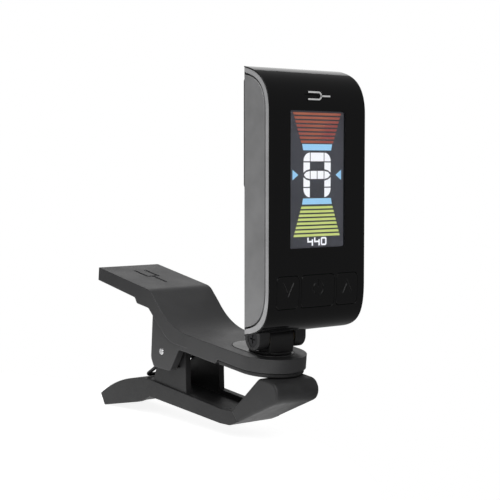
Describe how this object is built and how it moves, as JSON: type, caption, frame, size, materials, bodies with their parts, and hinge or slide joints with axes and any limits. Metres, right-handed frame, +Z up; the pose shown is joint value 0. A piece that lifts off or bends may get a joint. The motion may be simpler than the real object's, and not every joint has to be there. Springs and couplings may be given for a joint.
{
  "type": "clip on tuner",
  "caption": "Sprung clip with a swivelling, tilting upright display head, colour screen, push buttons and rubber jaw pads.",
  "frame": {"origin": "the grip point: midway between the two closed jaw pads, on the middle plane", "axes": "+Z up along the upright head, -Y out of the display's face, +X across the width; the clip under the head dips 6 degrees towards the jaw"},
  "size_m": [0.0276, 0.0816, 0.0855],
  "materials": {
    "arm_plastic": "satin moulded",
    "inlay_plastic": "semi gloss",
    "pad_rubber": "matte",
    "steel": "bright",
    "dark_screw": "black oxide",
    "cover_gloss": "piano black",
    "rim_grey": "satin light grey",
    "panel_grey": "satin grey",
    "housing_black": "fine matte",
    "window": "clear",
    "screen": "dark grey",
    "diffuser": "white",
    "board_green": "solder mask",
    "chip_black": "matte",
    "brass": "plain"
  },
  "bodies": {
    "lower_jaw": {"lower_arm": "arm_plastic", "lower_pad": "pad_rubber", "pivot_pin": "steel", "torsion_spring": "steel"},
    "upper_jaw": {"upper_arm": "arm_plastic", "upper_pad": "pad_rubber", "swivel_plate": "inlay_plastic"},
    "neck": {"neck_block": "arm_plastic", "swivel_washer": "steel", "swivel_screw": "steel", "friction_washers": "brass"},
    "head": {"hinge_pin": "steel", "hinge_caps": "dark_screw", "rear_housing": "housing_black", "front_cover": "cover_gloss", "rim_left": "rim_grey", "rim_right": "rim_grey", "side_panel_left": "panel_grey", "side_panel_right": "panel_grey", "display_window": "window", "lcd_panel": "screen", "backlight": "diffuser", "circuit_board": "board_green", "tuner_chip": "chip_black", "dome_switches": "steel", "coin_cell": "steel", "contact_minus": "brass", "contact_plus": "brass", "piezo_sensor": "brass", "housing_screws": "dark_screw"},
    "down_key": {"button_down": "cover_gloss"},
    "power_key": {"button_power": "cover_gloss"},
    "up_key": {"button_up": "cover_gloss"},
    "battery_door": {"battery_cover": "housing_black"}
  },
  "joints": [
    {"name": "jaw_pivot", "type": "hinge", "parent": "lower_jaw", "child": "upper_jaw", "pos_m": [0, 0.03938, 0.00223], "axis": [-1, 0, 0], "range_deg": [0, 28], "stiffness_Nm_per_rad": 0.35, "springref_deg": -34.38, "deforming": ["torsion_spring"]},
    {"name": "neck_swivel", "type": "hinge", "parent": "upper_jaw", "child": "neck", "pos_m": [0, 0.00709, 0.00527], "axis": [0, -0.1045, 0.9945], "continuous": true},
    {"name": "head_tilt", "type": "hinge", "parent": "neck", "child": "head", "pos_m": [0, 0.00509, 0.00893], "axis": [1, 0, 0], "range_deg": [-80, 30]},
    {"name": "down_press", "type": "slide", "parent": "head", "child": "down_key", "axis": [0, 1, 0], "range_m": [0, 0.0004], "stiffness_N_per_m": 1000, "springref_m": -0.0003},
    {"name": "power_press", "type": "slide", "parent": "head", "child": "power_key", "axis": [0, 1, 0], "range_m": [0, 0.0004], "stiffness_N_per_m": 1000, "springref_m": -0.0003},
    {"name": "up_press", "type": "slide", "parent": "head", "child": "up_key", "axis": [0, 1, 0], "range_m": [0, 0.0004], "stiffness_N_per_m": 1000, "springref_m": -0.0003},
    {"name": "battery_door_pull", "type": "slide", "parent": "head", "child": "battery_door", "axis": [0, 1, 0], "range_m": [0, 0.008]}
  ]
}
